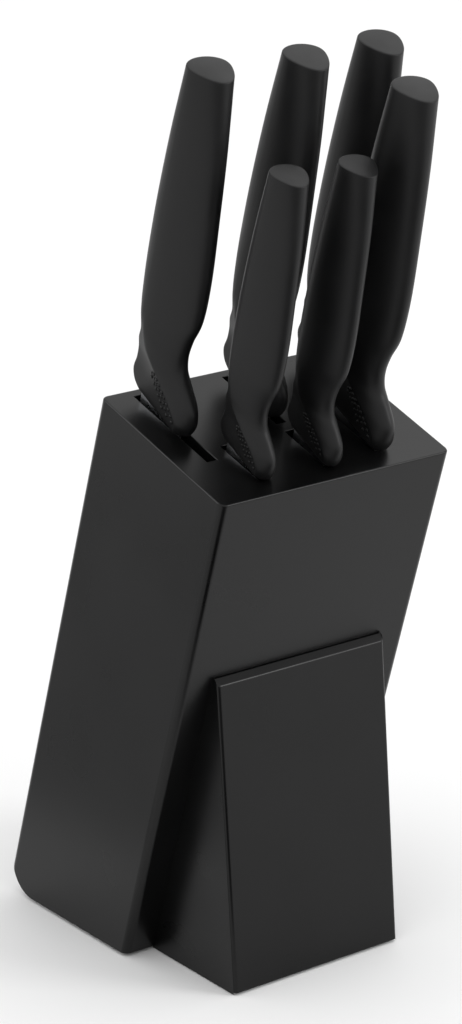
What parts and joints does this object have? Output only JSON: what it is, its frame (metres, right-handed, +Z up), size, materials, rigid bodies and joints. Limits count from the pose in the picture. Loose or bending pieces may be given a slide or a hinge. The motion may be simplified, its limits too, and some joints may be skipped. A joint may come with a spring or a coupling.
{
  "type": "knife block with knives",
  "caption": "Black block that leans forward over a wedge-shaped front foot, with slots in its square top for kitchen knives whose moulded handles stand out.",
  "frame": {"origin": "on the standing surface, at the middle of the block's front bottom edge, which is also the middle of the whole object's plan", "axes": "+X across the block to the right as seen from the front, +Y from the front foot to the rear, +Z up"},
  "size_m": [0.105, 0.1511, 0.3491],
  "materials": {
    "black_painted_wood": "satin black paint",
    "bare_beech": "bare turned wood",
    "soft_touch_black": "soft-touch matte black",
    "blade_steel": "satin ground stainless steel",
    "pad_rubber": "matte foam rubber"
  },
  "bodies": {
    "block": {"left_cheek": "black_painted_wood", "left_inner_board": "black_painted_wood", "left_centre_board": "black_painted_wood", "right_centre_board": "black_painted_wood", "right_inner_board": "black_painted_wood", "right_cheek": "black_painted_wood", "chef_slot_front_strip": "black_painted_wood", "chef_slot_rear_strip": "black_painted_wood", "chef_slot_floor": "black_painted_wood", "utility_slot_front_strip": "black_painted_wood", "utility_slot_rear_strip": "black_painted_wood", "utility_slot_floor": "black_painted_wood", "paring_slot_front_strip": "black_painted_wood", "middle_slot_divider": "black_painted_wood", "bread_slot_rear_strip": "black_painted_wood", "paring_slot_floor": "black_painted_wood", "bread_slot_floor": "black_painted_wood", "carving_slot_front_strip": "black_painted_wood", "carving_slot_rear_strip": "black_painted_wood", "carving_slot_floor": "black_painted_wood", "santoku_slot_front_strip": "black_painted_wood", "santoku_slot_rear_strip": "black_painted_wood", "santoku_slot_floor": "black_painted_wood", "wedge_foot": "black_painted_wood", "wedge_dowels": "bare_beech", "anti_slip_pads": "pad_rubber"},
    "chef_knife": {"chef_blade": "blade_steel", "chef_handle": "soft_touch_black"},
    "bread_knife": {"bread_blade": "blade_steel", "bread_handle": "soft_touch_black"},
    "santoku_knife": {"santoku_blade": "blade_steel", "santoku_handle": "soft_touch_black"},
    "carving_knife": {"carving_blade": "blade_steel", "carving_handle": "soft_touch_black"},
    "utility_knife": {"utility_blade": "blade_steel", "utility_handle": "soft_touch_black"},
    "paring_knife": {"paring_blade": "blade_steel", "paring_handle": "soft_touch_black"}
  },
  "joints": [
    {"name": "chef_pull", "type": "slide", "parent": "block", "child": "chef_knife", "axis": [0, -0.294, 0.9558], "range_m": [0, 0.21]},
    {"name": "bread_pull", "type": "slide", "parent": "block", "child": "bread_knife", "axis": [0, -0.3024, 0.9532], "range_m": [0, 0.2]},
    {"name": "santoku_pull", "type": "slide", "parent": "block", "child": "santoku_knife", "axis": [0, -0.294, 0.9558], "range_m": [0, 0.19]},
    {"name": "carving_pull", "type": "slide", "parent": "block", "child": "carving_knife", "axis": [0, -0.294, 0.9558], "range_m": [0, 0.194]},
    {"name": "utility_pull", "type": "slide", "parent": "block", "child": "utility_knife", "axis": [0, -0.294, 0.9558], "range_m": [0, 0.138]},
    {"name": "paring_pull", "type": "slide", "parent": "block", "child": "paring_knife", "axis": [0, -0.294, 0.9558], "range_m": [0, 0.1]}
  ]
}
